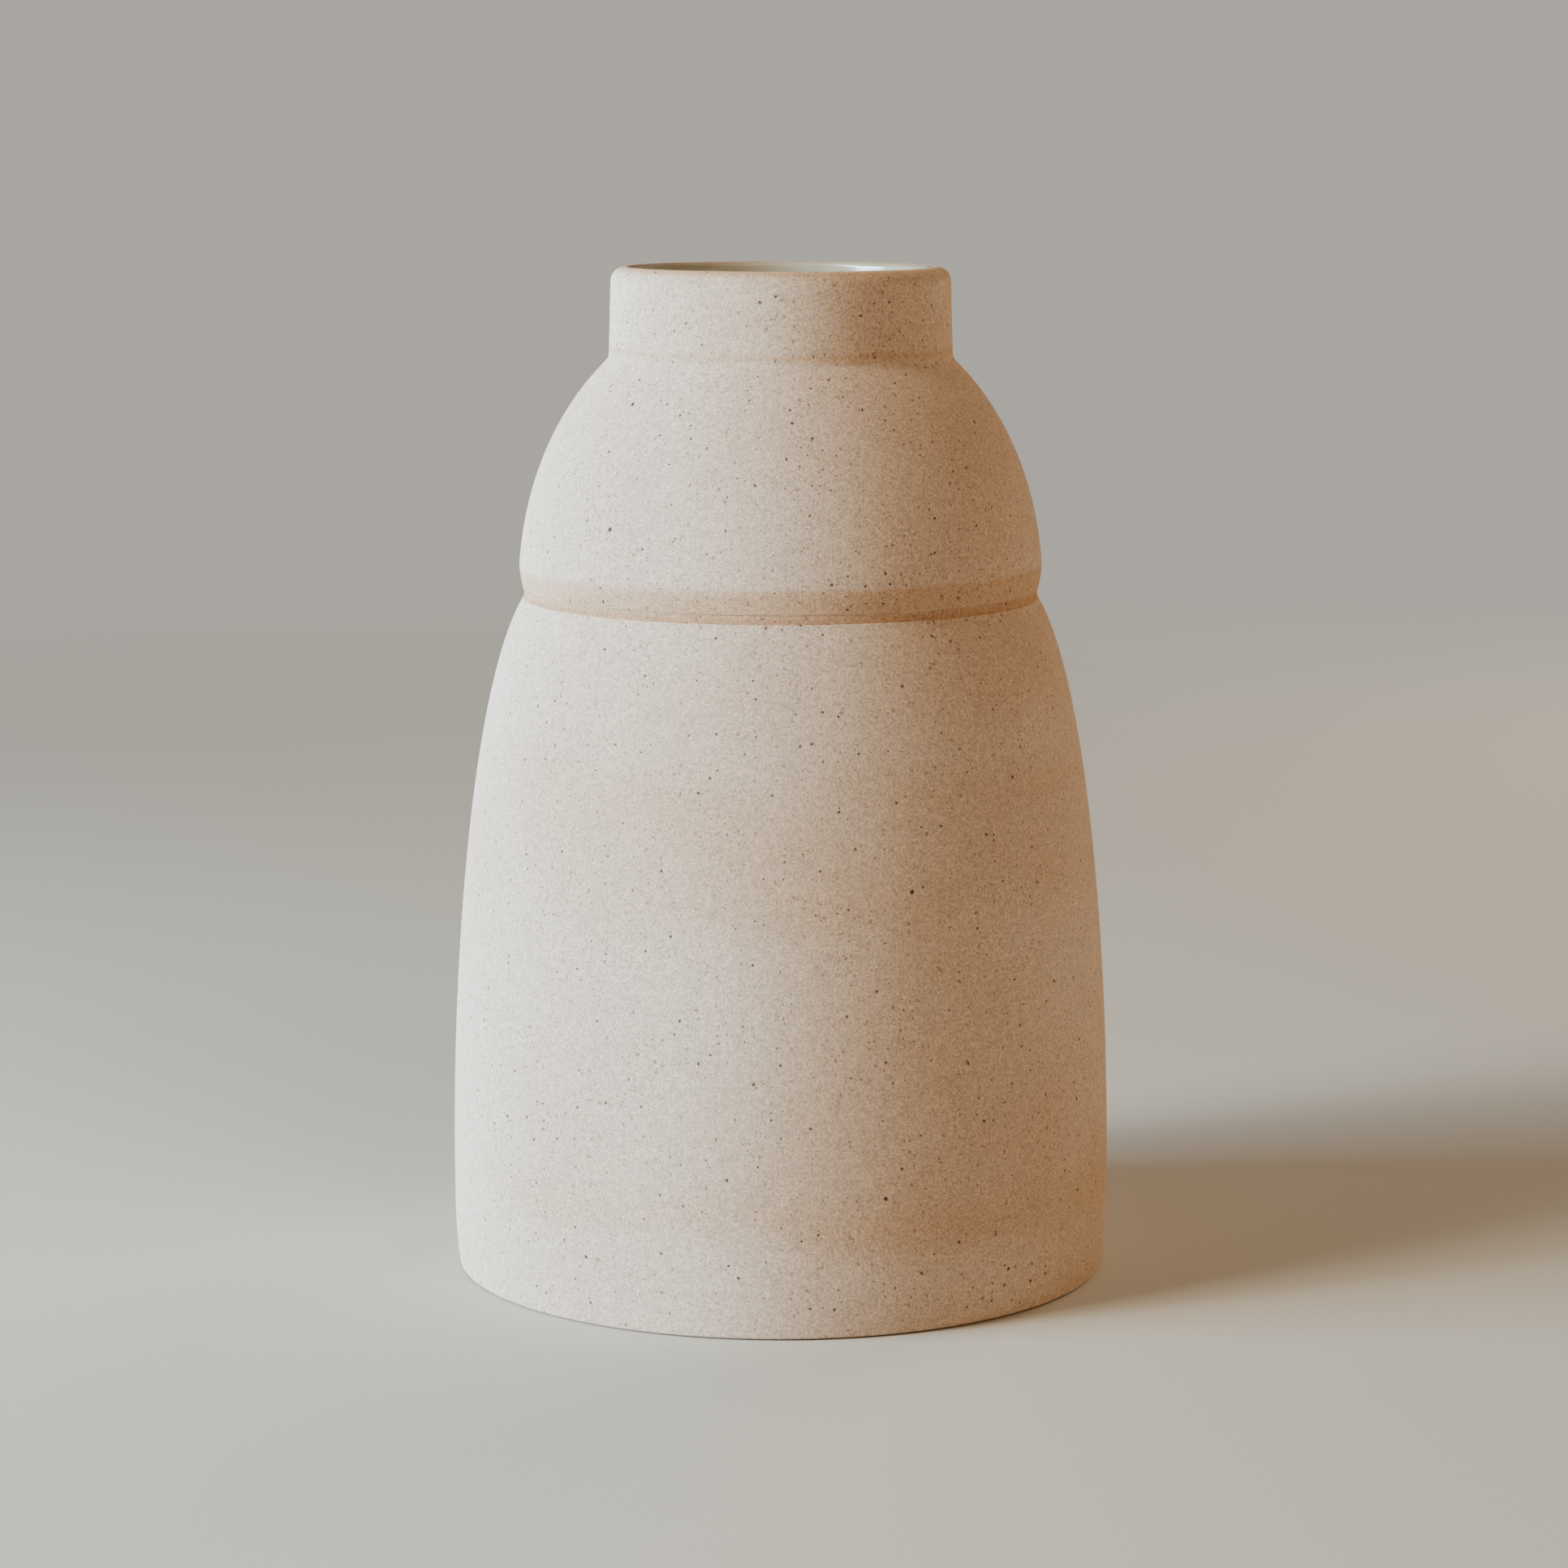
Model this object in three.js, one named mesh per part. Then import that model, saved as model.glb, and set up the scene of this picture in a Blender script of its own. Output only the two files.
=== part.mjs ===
import * as THREE from 'three';

// A hand-thrown stoneware vase. Millimetres, Z up, standing on z = 0 with its axis on Z.
// Three sections were thrown on the wheel and luted end to end with slip: a wide lower body
// with its own floor, a shoulder dome, and an upright neck collar that ends in the lip.
// The clay is bare outside. Inside, one skin of glaze runs from just under the lip to the floor.

// Overall sizes
const overallHeight = 250;
const bellyRadius = 82.4;        // widest ring of the lower body
const wall = 5.2;                // wall of the body and the dome, square to the surface

// Lower body
const bellyHeight = 26.7;        // height of the widest ring
const footInset = 1.2;           // how far the wall draws in from the belly to the foot
const footEdge = 0.9;            // rounding of the bottom edge
const footRingWidth = 12;        // flat ring that the vase stands on
const recessDepth = 1.5;         // shallow hollow trimmed inside that ring
const recessSlope = 3;           // width of the sloping side of the hollow
const floorThickness = 7;
const floorFillet = 9;           // inside, where the floor turns up into the wall
const waistHeight = 168.5;       // top edge of the lower body
const waistRadius = 64;
const waistEdge = 0.4;           // rounding of that edge
const bodyReach = 5.2;           // the body's curve would close this far above its top edge

// Waist groove, between the body and the dome
const grooveHeight = 2;
const grooveDepth = 0.9;

// Shoulder dome
const domeFlare = 1.15;          // its widest ring stands out this far past the waist
const tuckHeight = 5.8;          // height of the band that leans in below that ring
const tuckEdge = 0.9;            // rounding of the dome's lower edge
const ridgeSoftness = 0.3;       // rounding where the leaning band meets the dome
const domeReach = 13;            // the dome's curve would close this far above the collar's foot

// Neck collar and lip
const neckHeight = 22.4;         // from the corner at the collar's foot to the crown of the lip
const neckRadius = 42.5;         // outside, at the foot
const neckTaper = 0.5;           // how much narrower the outside is at the start of the lip
const neckWall = 5.3;
const neckJoint = 1.5;           // height of the slip joint round the collar
const jointRise = 1.2;           // the middle of that joint is this far above the corner
const footSoftness = 0.6;        // rounding outside, where the dome turns up into the collar
const lipRise = 3.6;             // height of the lip's outer curve
const lipInnerWidth = 1;         // the crown stands this far out from the inside wall
const lipInnerRise = 1.2;
const throatSoftness = 3;        // rounding inside, where the dome turns up into the neck

// Glaze skin and fits
const glazeThickness = 0.5;
const glazeMargin = 0.1;         // the glaze ends this far under the lip's inner curve
const clearance = 0.3;           // between pieces that meet

// Fineness of the surfaces
const segments = 48;
const footSteps = 4;
const bodySteps = 10;
const domeSteps = 9;
const insideSteps = 7;
const roundSteps = 3;
const lipSteps = 6;
const neckSteps = 3;

// Heights and radii that follow from the sizes above
const domeFoot = waistHeight + grooveHeight;
const domeRadius = waistRadius + domeFlare;
const neckFoot = overallHeight - neckHeight;
const domeTop = neckFoot + jointRise - neckJoint / 2;
const collarFoot = domeTop + neckJoint;
const lipStart = overallHeight - lipRise;
const lipRadius = neckRadius - neckTaper;
const boreRadius = neckRadius - neckWall;
const crownRadius = boreRadius + lipInnerWidth;
const lipInnerStart = overallHeight - lipInnerRise;

const point = (radius, height) => new THREE.Vector2(radius, height);
const blend = (from, to, share) => from + (to - from) * share;

// Evenly spaced values from one number to another, both ends included.
function spaced(from, to, steps) {
  return Array.from({ length: steps + 1 }, (_, step) => blend(from, to, step / steps));
}

// Quarter of an ellipse from one point to another. It leaves the first point along the
// height and reaches the second along the radius, or the other way round.
function quarterRound(from, to, steps, heightFirst = true) {
  return spaced(0, Math.PI / 2, steps).map((angle) => {
    const early = Math.sin(angle);
    const late = 1 - Math.cos(angle);
    const radiusShare = heightFirst ? late : early;
    const heightShare = heightFirst ? early : late;
    return point(blend(from.x, to.x, radiusShare), blend(from.y, to.y, heightShare));
  });
}

// Radius at a height on an ellipse that stands upright at its widest ring and passes through
// a top point. It would close at the reach above that point.
function ellipseRadius(height, widest, top, reach) {
  const semiHeight = top.y + reach - widest.y;
  const drawnIn = (level) => 1 - Math.sqrt(Math.max(0, 1 - ((level - widest.y) / semiHeight) ** 2));
  return blend(widest.x, top.x, drawnIn(height) / drawnIn(top.y));
}

// The smaller or larger of two radii, with the corner between them rounded.
const softMin = (a, b, softness) => (a + b - Math.hypot(a - b, softness)) / 2;
const softMax = (a, b, softness) => (a + b + Math.hypot(a - b, softness)) / 2;

// Outside of the lower body: a slow curve in to the foot below the belly, an ellipse above it.
function bodyRadius(height) {
  if (height < bellyHeight) {
    return bellyRadius - footInset * ((bellyHeight - height) / bellyHeight) ** 4;
  }
  const widest = point(bellyRadius, bellyHeight);
  return ellipseRadius(height, widest, point(waistRadius, waistHeight), bodyReach);
}

// The dome's own curve, an ellipse from its foot to the foot of the collar.
function domeCurve(height) {
  return ellipseRadius(height, point(domeRadius, domeFoot), point(neckRadius, neckFoot), domeReach);
}

// Outside above the groove: the dome's curve, cut back near its foot by the band that leans
// in, and rounded into the collar, which is straight and a little narrower towards the lip.
function upperOutside(height) {
  const band = blend(waistRadius, domeRadius, (height - domeFoot) / tuckHeight);
  const collar = blend(neckRadius, lipRadius, (height - neckFoot) / (lipStart - neckFoot));
  return softMax(softMin(domeCurve(height), band, ridgeSoftness), collar, footSoftness);
}

// Inside radius that leaves the wall its thickness square to a sloping outside.
function insideOf(outside, height) {
  const slope = outside(height + 0.5) - outside(height - 0.5);
  return outside(height) - wall * Math.hypot(1, slope);
}

// Inside of the dome and the neck, rounded where one turns into the other.
function upperInside(height) {
  return softMax(insideOf(domeCurve, height), boreRadius, throatSoftness);
}

// The whole inside surface from the start of the lip down to the middle of the floor, in the
// stretches that belong to each piece.
const neckInside = spaced(lipInnerStart, collarFoot, neckSteps)
  .map((height) => point(upperInside(height), height));
const domeInside = spaced(domeTop, domeFoot, insideSteps)
  .map((height) => point(upperInside(height), height));
const filletTop = floorThickness + floorFillet;
const bodyInside = spaced(waistHeight, filletTop, insideSteps)
  .map((height) => point(insideOf(bodyRadius, height), height));
const filletStart = bodyInside.at(-1);
const floorInside = quarterRound(
  filletStart, point(filletStart.x - floorFillet, floorThickness), lipSteps);

// A path moved square to itself, to the left of its direction. A point on the axis stays on it.
function moved(path, distance) {
  return path.map((here, index) => {
    const before = path[Math.max(index - 1, 0)];
    const after = path[Math.min(index + 1, path.length - 1)];
    const into = here.clone().sub(before).normalize();
    const out = after.clone().sub(here).normalize();
    const along = into.clone().add(out).normalize();
    const part = index === 0 || index === path.length - 1 ? 1 : along.dot(out);
    const shift = distance / part;
    const radius = here.x === 0 ? 0 : here.x - along.y * shift;
    return point(radius, here.y + along.x * shift);
  });
}

// A ring is a closed loop: its profile ends where it starts.
const ring = (profile) => [...profile, profile[0].clone()];

// Profiles run up the outside and down the inside, so the surface faces outwards.
function lowerBodyProfile() {
  const edgeRadius = bodyRadius(footEdge);
  const ringOuter = edgeRadius - footEdge;
  const ringInner = ringOuter - footRingWidth;
  const edgeTop = waistHeight - waistEdge;
  const underside = [
    point(0, recessDepth),
    point(ringInner - recessSlope, recessDepth),
    point(ringInner, 0),
  ];
  const bottomEdge = quarterRound(point(ringOuter, 0), point(edgeRadius, footEdge), roundSteps, false);
  const foot = spaced(footEdge, bellyHeight, footSteps).slice(1);
  const side = spaced(bellyHeight, edgeTop, bodySteps).slice(1);
  const outside = [...foot, ...side].map((height) => point(bodyRadius(height), height));
  const topEdge = quarterRound(
    outside.at(-1), point(bodyRadius(edgeTop) - waistEdge, waistHeight), roundSteps).slice(1);
  const inside = [...bodyInside, ...floorInside.slice(1), point(0, floorThickness)];
  return [...underside, ...bottomEdge, ...outside, ...topEdge, ...inside];
}

function domeProfile() {
  const edgeTop = domeFoot + tuckEdge;
  const edgeRadius = upperOutside(edgeTop);
  const lowerEdge = quarterRound(
    point(edgeRadius - tuckEdge, domeFoot), point(edgeRadius, edgeTop), roundSteps, false);
  const band = spaced(edgeTop, domeFoot + tuckHeight, roundSteps).slice(1);
  const side = spaced(domeFoot + tuckHeight, domeTop, domeSteps).slice(1);
  const outside = [...band, ...side].map((height) => point(upperOutside(height), height));
  return ring([...lowerEdge, ...outside, ...domeInside]);
}

function neckProfile() {
  const outside = spaced(collarFoot, lipStart, neckSteps)
    .map((height) => point(upperOutside(height), height));
  const crown = point(crownRadius, overallHeight);
  const outerLip = quarterRound(outside.at(-1), crown, lipSteps).slice(1);
  const innerLip = quarterRound(crown, neckInside[0], roundSteps, false).slice(1, -1);
  return ring([...outside, ...outerLip, ...innerLip, ...neckInside]);
}

// Slip that fills a joint: from the inside of the piece below to the inside of the one above,
// and out to the radius that the outside function gives at each height.
function slipProfile(below, above, outside) {
  const bottom = below.y + clearance;
  const top = above.y - clearance;
  const inside = (height) => blend(below.x, above.x, (height - below.y) / (above.y - below.y));
  return ring([
    point(outside(bottom), bottom),
    point(outside(top), top),
    point(inside(top), top),
    point(inside(bottom), bottom),
  ]);
}

// The glaze follows the inside of every piece at the clearance, down to the axis.
function glazeProfile() {
  const glazeTop = lipInnerStart - glazeMargin;
  const backing = [
    point(upperInside(glazeTop), glazeTop),
    ...neckInside.slice(1),
    ...domeInside,
    ...bodyInside,
    ...floorInside.slice(1),
    point(0, floorThickness),
  ];
  const outer = moved(backing, -clearance);
  const inner = moved(backing, -clearance - glazeThickness);
  return [...outer.reverse(), ...inner];
}

const rawClay = { color: '#c3b3a5', roughness: 0.92, metalness: 0 };
const tanClay = { color: '#b89f8b', roughness: 0.92, metalness: 0 };
const warmClay = { color: '#b49478', roughness: 0.9, metalness: 0 };
const slipClay = { color: '#7c5a43', roughness: 0.95, metalness: 0 };
const creamGlaze = { color: '#d8d2c4', roughness: 0.15, metalness: 0 };

function turned(name, profile, finish) {
  const geometry = new THREE.LatheGeometry(profile, segments);
  geometry.rotateX(Math.PI / 2);
  const mesh = new THREE.Mesh(geometry, new THREE.MeshStandardMaterial(finish));
  mesh.name = name;
  return mesh;
}

const waistSlip = slipProfile(bodyInside[0], domeInside.at(-1), () => waistRadius - grooveDepth);
const neckSlip = slipProfile(domeInside[0], neckInside.at(-1), upperOutside);

const group = new THREE.Group();
group.add(turned('lower_body', lowerBodyProfile(), rawClay));
group.add(turned('waist_slip', waistSlip, slipClay));
group.add(turned('shoulder_dome', domeProfile(), tanClay));
group.add(turned('neck_slip', neckSlip, slipClay));
group.add(turned('neck_collar', neckProfile(), warmClay));
group.add(turned('liner_glaze', glazeProfile(), creamGlaze));

export default group;
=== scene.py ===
"""A hand-thrown stoneware vase: bare speckled clay outside, pale glaze inside, on a plain stage.

Every piece is one profile turned round the axis. A profile runs up the outside of a section and
down its inside, so its faces point outwards. Lengths are in metres, with Z up and the foot on z = 0.
"""

import math

import bpy
import numpy as np
from bpy.props import FloatProperty, FloatVectorProperty, PointerProperty
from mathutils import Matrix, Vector


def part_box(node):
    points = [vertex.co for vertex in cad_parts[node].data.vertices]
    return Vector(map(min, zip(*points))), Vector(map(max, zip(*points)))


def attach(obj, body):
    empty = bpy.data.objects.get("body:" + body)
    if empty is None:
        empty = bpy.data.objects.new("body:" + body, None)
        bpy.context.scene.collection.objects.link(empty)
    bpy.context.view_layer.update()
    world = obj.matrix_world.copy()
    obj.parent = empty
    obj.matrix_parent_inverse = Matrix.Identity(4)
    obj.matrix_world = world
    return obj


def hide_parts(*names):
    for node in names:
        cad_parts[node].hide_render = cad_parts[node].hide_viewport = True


bl_info = {
    "name": "Stoneware Vase",
    "version": (1, 0, 0),
    "blender": (4, 5, 0),
    "location": "3D View > Sidebar > Vase",
    "description": "Builds a thrown stoneware vase around its packed frame",
    "category": "Object",
}

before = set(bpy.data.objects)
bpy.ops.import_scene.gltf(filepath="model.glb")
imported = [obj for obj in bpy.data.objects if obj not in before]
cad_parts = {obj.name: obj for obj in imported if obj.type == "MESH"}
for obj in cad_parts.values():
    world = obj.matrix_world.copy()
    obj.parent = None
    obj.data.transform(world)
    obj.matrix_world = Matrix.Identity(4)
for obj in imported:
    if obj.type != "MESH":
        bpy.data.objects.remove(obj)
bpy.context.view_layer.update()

MM = 0.001
TINY = 1e-9
BODY_LOW, BODY_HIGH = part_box("lower_body")
DOME_LOW, DOME_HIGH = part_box("shoulder_dome")
NECK_LOW, NECK_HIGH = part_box("neck_collar")


def length(name, description, default):
    """A size that a user may change, in metres."""
    return FloatProperty(
        name=name, description=description, default=default, min=0.0,
        precision=5, subtype="DISTANCE", unit="LENGTH")


def colour(name, description, default):
    """A colour that a user may change."""
    return FloatVectorProperty(
        name=name, description=description, default=default, size=3,
        min=0.0, max=1.0, subtype="COLOR")


def amount(name, description, default, top=10.0):
    """A plain number that a user may change."""
    return FloatProperty(name=name, description=description, default=default, min=0.0, max=top)


class VaseShape(bpy.types.PropertyGroup):
    """Sizes of the thrown form"""

    belly_radius: length("Belly radius", "Widest ring of the lower body", BODY_HIGH.x)
    belly_height: length("Belly height", "Height of the widest ring", 26.7 * MM)
    wall: length("Wall", "Wall of the body and the dome, square to the surface", 5.2 * MM)
    foot_inset: length("Foot inset", "How far the wall draws in to the foot", 1.2 * MM)
    foot_edge: length("Foot edge", "Rounding of the bottom edge", 0.9 * MM)
    foot_tuck: length("Foot tuck", "How far that rounding runs in under the wall", 2.4 * MM)
    foot_ring: length("Foot ring", "Width of the flat ring the vase stands on", 12 * MM)
    recess_depth: length("Recess depth", "Hollow trimmed inside the foot ring", 1.5 * MM)
    recess_slope: length("Recess slope", "Width of the hollow's sloping side", 3 * MM)
    floor: length("Floor", "Thickness of the floor", 7 * MM)
    floor_fillet: length("Floor fillet", "Rounding where the floor meets the wall", 9 * MM)
    waist_height: length("Waist height", "Top edge of the lower body", BODY_HIGH.z)
    waist_radius: length("Waist radius", "Outside radius at the waist", 64 * MM)
    waist_edge: length("Waist edge", "Rounding of the lower body's top edge", 0.4 * MM)
    body_reach: length("Body reach", "The body's curve would close this far above its top", 5.2 * MM)
    dome_foot: length("Dome foot", "Lower edge of the shoulder dome", DOME_LOW.z)
    dome_flare: length("Dome flare", "How far the dome stands out past the waist", 1.15 * MM)
    tuck_height: length("Tuck height", "Height of the band that leans in below it", 5.8 * MM)
    tuck_edge: length("Tuck edge", "Rounding of the dome's lower edge", 0.9 * MM)
    ridge_softness: length("Ridge softness", "Rounding between band and dome", 0.3 * MM)
    dome_reach: length("Dome reach", "The dome's curve would close this far up", 13 * MM)
    dome_top: length("Dome top", "Upper edge of the shoulder dome", DOME_HIGH.z)
    collar_foot: length("Collar foot", "Lower edge of the neck collar", NECK_LOW.z)
    top: length("Height", "Crown of the lip", NECK_HIGH.z)
    neck_height: length("Neck height", "From the corner at its foot to the crown", 22.4 * MM)
    neck_radius: length("Neck radius", "Outside radius at the foot of the collar", 42.5 * MM)
    neck_taper: length("Neck taper", "How much narrower it is under the lip", 0.5 * MM)
    neck_wall: length("Neck wall", "Wall of the collar", 5.3 * MM)
    corner_softness: length("Corner softness", "Rounding where dome turns into neck", 0.6 * MM)
    lip_rise: length("Lip rise", "Height of the lip's outer curve", 3.6 * MM)
    lip_inner_width: length("Lip inner width", "Crown to bore", 1.0 * MM)
    lip_inner_rise: length("Lip inner rise", "Height of the lip's inner curve", 1.2 * MM)
    throat_softness: length("Throat softness", "Rounding inside, dome to neck", 3 * MM)
    glaze: length("Glaze", "Thickness of the liner glaze", 0.5 * MM)
    wander: length("Wander", "How far the clay strays from a true circle", 0.16 * MM)
    rings: length("Throwing rings", "Depth of the finger rings under the glaze", 0.16 * MM)


class VaseFinish(bpy.types.PropertyGroup):
    """Colours and textures of clay, slip and glaze"""

    clay: colour("Clay", "Bare fired clay", (0.690, 0.594, 0.512))
    # The kiln's warmer, darker bands, and also the colour of the painted shade on the dome's leaning band,
    # at the neck crease and toward +X.
    toast_and_shade: colour("Toasted clay", "Where the kiln warmed the clay", (0.590, 0.428, 0.300))
    speck: colour("Speck", "Iron specks", (0.075, 0.040, 0.022))
    rust: colour("Rust speck", "Fine red-brown specks", (0.300, 0.150, 0.075))
    # Slip: its dark line at the foot of the waist groove is both the slip joint and painted groove shade.
    slip: colour("Slip", "Clay slip in the joints", (0.530, 0.355, 0.235))
    glaze: colour("Glaze", "Liner glaze", (0.500, 0.475, 0.385))
    speckle: amount("Speckle", "How many specks the clay holds", 1.0)
    grain: amount("Grain", "Strength of the sandy grain", 1.0)
    # Painted warm shade: how much warmer the clay is coloured toward +X, the side away from the window and
    # the lamp.
    painted_warm_shade: amount("Flame side", "How much warmer the clay is painted toward +X", 0.44)


class VaseStage(bpy.types.PropertyGroup):
    """Floor, light and camera"""

    floor: colour("Floor", "Plain floor", (0.62, 0.60, 0.55))
    backdrop: colour("Backdrop", "What the camera sees far off, in place of the floor", (0.42, 0.40, 0.36))
    window: colour("Window", "Cool low light from the left", (0.56, 0.80, 1.0))
    window_power: amount("Window power", "Watts of the window light", 56.0, 1000.0)
    lamp: colour("Lamp", "Tall light from the front left", (1.0, 0.94, 0.80))
    lamp_power: amount("Lamp power", "Watts of the tall light", 22.8, 1000.0)
    glow: colour("Glow", "Warm light from behind, right", (1.0, 0.80, 0.60))
    glow_power: amount("Glow power", "Watts of the light from behind", 20.0, 1000.0)
    fill: colour("Fill", "Warm light from the front right", (1.0, 0.63, 0.31))
    fill_power: amount("Fill power", "Watts of the front fill", 8.0, 1000.0)
    air: colour("Air", "Light from everywhere", (1.0, 0.95, 0.90))
    air_power: amount("Air strength", "Strength of the light from everywhere", 0.103)


# ---------------------------------------------------------------- curves


def blend(start, end, share):
    return start + (end - start) * share


def soft_min(a, b, softness):
    """The smaller of two radii, with the corner between them rounded."""
    return (a + b - np.hypot(a - b, softness)) / 2


def soft_max(a, b, softness):
    """The larger of two radii, with the corner between them rounded."""
    return (a + b + np.hypot(a - b, softness)) / 2


def ease(share):
    """Smooth step from 0 to 1: 3 s squared less 2 s cubed, held outside 0 to 1."""
    share = np.clip(share, 0, 1)
    return share * share * (3 - 2 * share)


def ellipse_radius(height, widest, top, reach):
    """Radius on an ellipse that stands upright at its widest ring and passes through a top point.

    Drawn-in share at a height is 1 less the root of 1 less (rise over half height) squared. The
    half height is the rise to the top point plus the reach.
    """
    half = top[1] + reach - widest[1]

    def drawn_in(level):
        return 1 - np.sqrt(np.maximum(0, 1 - ((level - widest[1]) / half) ** 2))

    return blend(widest[0], top[0], drawn_in(height) / drawn_in(top[1]))


def body_outside(height):
    """Outside of the lower body: an ellipse, and below the belly a fourth-power curve to the foot."""
    s = bpy.context.scene.vase_shape
    below = np.maximum(0, (s.belly_height - height) / s.belly_height)
    foot = s.belly_radius - s.foot_inset * below ** 4
    side = ellipse_radius(
        np.maximum(height, s.belly_height), (s.belly_radius, s.belly_height),
        (s.waist_radius, s.waist_height), s.body_reach)
    return np.where(height < s.belly_height, foot, side)


def dome_curve(height):
    """The dome's own ellipse, from its foot to the foot of the collar."""
    s = bpy.context.scene.vase_shape
    return ellipse_radius(
        height, (s.waist_radius + s.dome_flare, s.dome_foot),
        (s.neck_radius, s.top - s.neck_height), s.dome_reach)


def upper_outside(height):
    """Outside above the waist: the dome, cut back by a leaning band, rounded into the collar."""
    s = bpy.context.scene.vase_shape
    band = blend(s.waist_radius, s.waist_radius + s.dome_flare, (height - s.dome_foot) / s.tuck_height)
    neck_foot = s.top - s.neck_height
    collar = blend(
        s.neck_radius, s.neck_radius - s.neck_taper,
        (height - neck_foot) / (s.top - s.lip_rise - neck_foot))
    return soft_max(soft_min(dome_curve(height), band, s.ridge_softness), collar, s.corner_softness)


def inside_of(outside, height):
    """Inside radius that leaves the wall its thickness square to a sloping outside."""
    slope = (outside(height + 0.5 * MM) - outside(height - 0.5 * MM)) / MM
    return outside(height) - bpy.context.scene.vase_shape.wall * np.hypot(1, slope)


def upper_inside(height):
    """Inside of dome and neck, rounded where one turns into the other."""
    s = bpy.context.scene.vase_shape
    return soft_max(inside_of(dome_curve, height), s.neck_radius - s.neck_wall, s.throat_softness)


# ---------------------------------------------------------------- profiles


def points(radius, height):
    """Radius and height side by side, one row per point."""
    return np.stack(np.broadcast_arrays(radius, height), axis=-1).astype(float)


def along(outside, low, high, steps):
    """Points on a curve whose radius is a function of height."""
    height = np.linspace(low, high, steps + 1)
    return points(outside(height), height)


def quarter_round(start, end, steps, height_first=True):
    """Quarter of an ellipse: one way follows the sine of the angle, the other 1 less its cosine."""
    angle = np.linspace(0, math.pi / 2, steps + 1)
    early, late = np.sin(angle), 1 - np.cos(angle)
    radius_share, height_share = (late, early) if height_first else (early, late)
    return points(blend(start[0], end[0], radius_share), blend(start[1], end[1], height_share))


def joined(*stretches):
    """One profile from stretches that each start where the one before ends."""
    return np.concatenate([stretches[0], *[stretch[1:] for stretch in stretches[1:]]])


def inside_stretches(neck=3, dome=3, body=3, fillet=3, floor=3):
    """Inside surface from the lip to the middle of the floor, in five stretches of so many steps."""
    s = bpy.context.scene.vase_shape
    in_neck = along(upper_inside, s.top - s.lip_inner_rise, s.collar_foot, neck)
    in_dome = along(upper_inside, s.dome_top, s.dome_foot, dome)
    in_body = along(
        lambda height: inside_of(body_outside, height),
        s.waist_height, s.floor + s.floor_fillet, body)
    in_fillet = quarter_round(in_body[-1], (in_body[-1, 0] - s.floor_fillet, s.floor), fillet)
    on_floor = points(np.linspace(in_fillet[-1, 0], 0, floor + 1), s.floor)
    return in_neck, in_dome, in_body, in_fillet, on_floor


def set_in(path, distance):
    """A path moved square to itself, to its right hand side seen from above the page."""
    along_path = np.gradient(path, axis=0)
    along_path /= np.linalg.norm(along_path, axis=1, keepdims=True)
    across = np.stack([along_path[:, 1], -along_path[:, 0]], axis=-1)
    moved = path + across * np.reshape(distance, (-1, 1))
    moved[:, 0] = np.where(path[:, 0] < TINY, 0, moved[:, 0])
    return moved


# ---------------------------------------------------------------- turning


def by_hand(radius, height, angle):
    """How the potter's hand strays from a true turned form, the same for every piece.

    The radius grows by a small share: two and three waves round the pot, which turn slowly with
    height, and a slower one up it. Near the lip the height strays by one wave round the rim.
    """
    s = bpy.context.scene.vase_shape
    rise = height / s.top
    oval = np.cos(2 * angle - 1.1 - 2.3 * rise) * (0.45 + 0.55 * np.sin(3.1 * rise + 0.4))
    third = 0.45 * np.cos(3 * angle + 0.7 + 5.0 * rise)
    drift = 0.35 * np.sin(11.0 * rise + 0.6) * ease(rise * 4)
    share = s.wander / s.belly_radius * (oval + third + drift)
    level = s.wander * 0.6 * np.cos(angle + 2.0) * ease((rise - 0.9) / 0.1)
    return radius * (1 + share), height + level


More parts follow.
